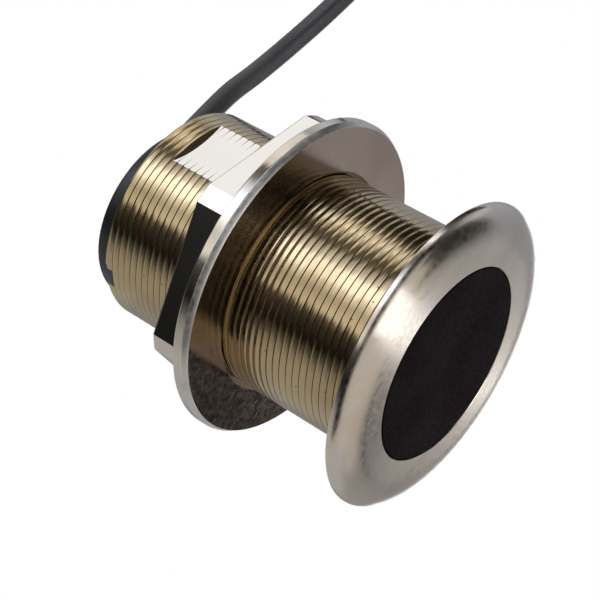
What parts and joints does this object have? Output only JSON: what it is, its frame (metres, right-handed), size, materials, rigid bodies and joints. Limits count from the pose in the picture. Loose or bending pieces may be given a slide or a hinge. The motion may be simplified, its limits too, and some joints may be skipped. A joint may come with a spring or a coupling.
{
  "type": "sonar transducer",
  "caption": "Flush through-hull sonar transducer: threaded bronze stem with a mushroom flange, a flanged hex hull nut, a black acoustic window and a coiled cable with a plug.",
  "frame": {"origin": "middle of the acoustic window's outer face, on which the transducer stands", "axes": "+Z along the stem from the face toward the cable, into the boat when fitted; the cable leaves the cap between +X and +Y and its coil lies on the +X side"},
  "size_m": [0.2945, 0.0871, 0.0953],
  "materials": {
    "housing_bronze": "machined cast bronze with a turned thread and a satin face",
    "nut_bronze": "cast bronze, polished on the flange and flats, rough on the chamfer",
    "window_polymer": "smooth black moulding",
    "cap_polymer": "satin black moulding",
    "silvered_ceramic": "fired silver on ceramic",
    "cork": "pressed cork",
    "resin": "cast resin",
    "tinned_contact": "bright tin and plated brass",
    "core_insulation": "smooth insulation in several colours",
    "cable_jacket": "satin black jacket",
    "tie_nylon": "black nylon",
    "plug_nylon": "fine-grained black nylon",
    "plug_rubber": "moulded rubber"
  },
  "bodies": {
    "root": {"housing": "housing_bronze", "hull_nut": "nut_bronze", "acoustic_window": "window_polymer", "element_disc": "silvered_ceramic", "isolation_sleeve": "cork", "backing_pad": "cork", "solder_signal": "tinned_contact", "solder_return": "tinned_contact", "core_signal": "core_insulation", "core_return": "core_insulation", "core_sensor_a": "core_insulation", "core_sensor_b": "core_insulation", "temperature_sensor": "resin", "potting_resin": "resin", "rear_cap": "cap_polymer", "cable_inner_end": "cable_jacket", "strain_relief": "plug_rubber", "cable": "cable_jacket", "cable_coil": "cable_jacket", "coil_tie_1": "tie_nylon", "coil_tie_2": "tie_nylon", "coil_tie_3": "tie_nylon", "cable_tail": "cable_jacket", "plug_boot": "plug_rubber", "plug_shell": "plug_nylon", "plug_collar": "plug_nylon", "plug_seal": "plug_rubber", "plug_insert": "plug_nylon", "contact_pin_1": "tinned_contact", "contact_pin_2": "tinned_contact", "contact_pin_3": "tinned_contact", "contact_pin_4": "tinned_contact", "contact_pin_5": "tinned_contact"}
  },
  "joints": []
}
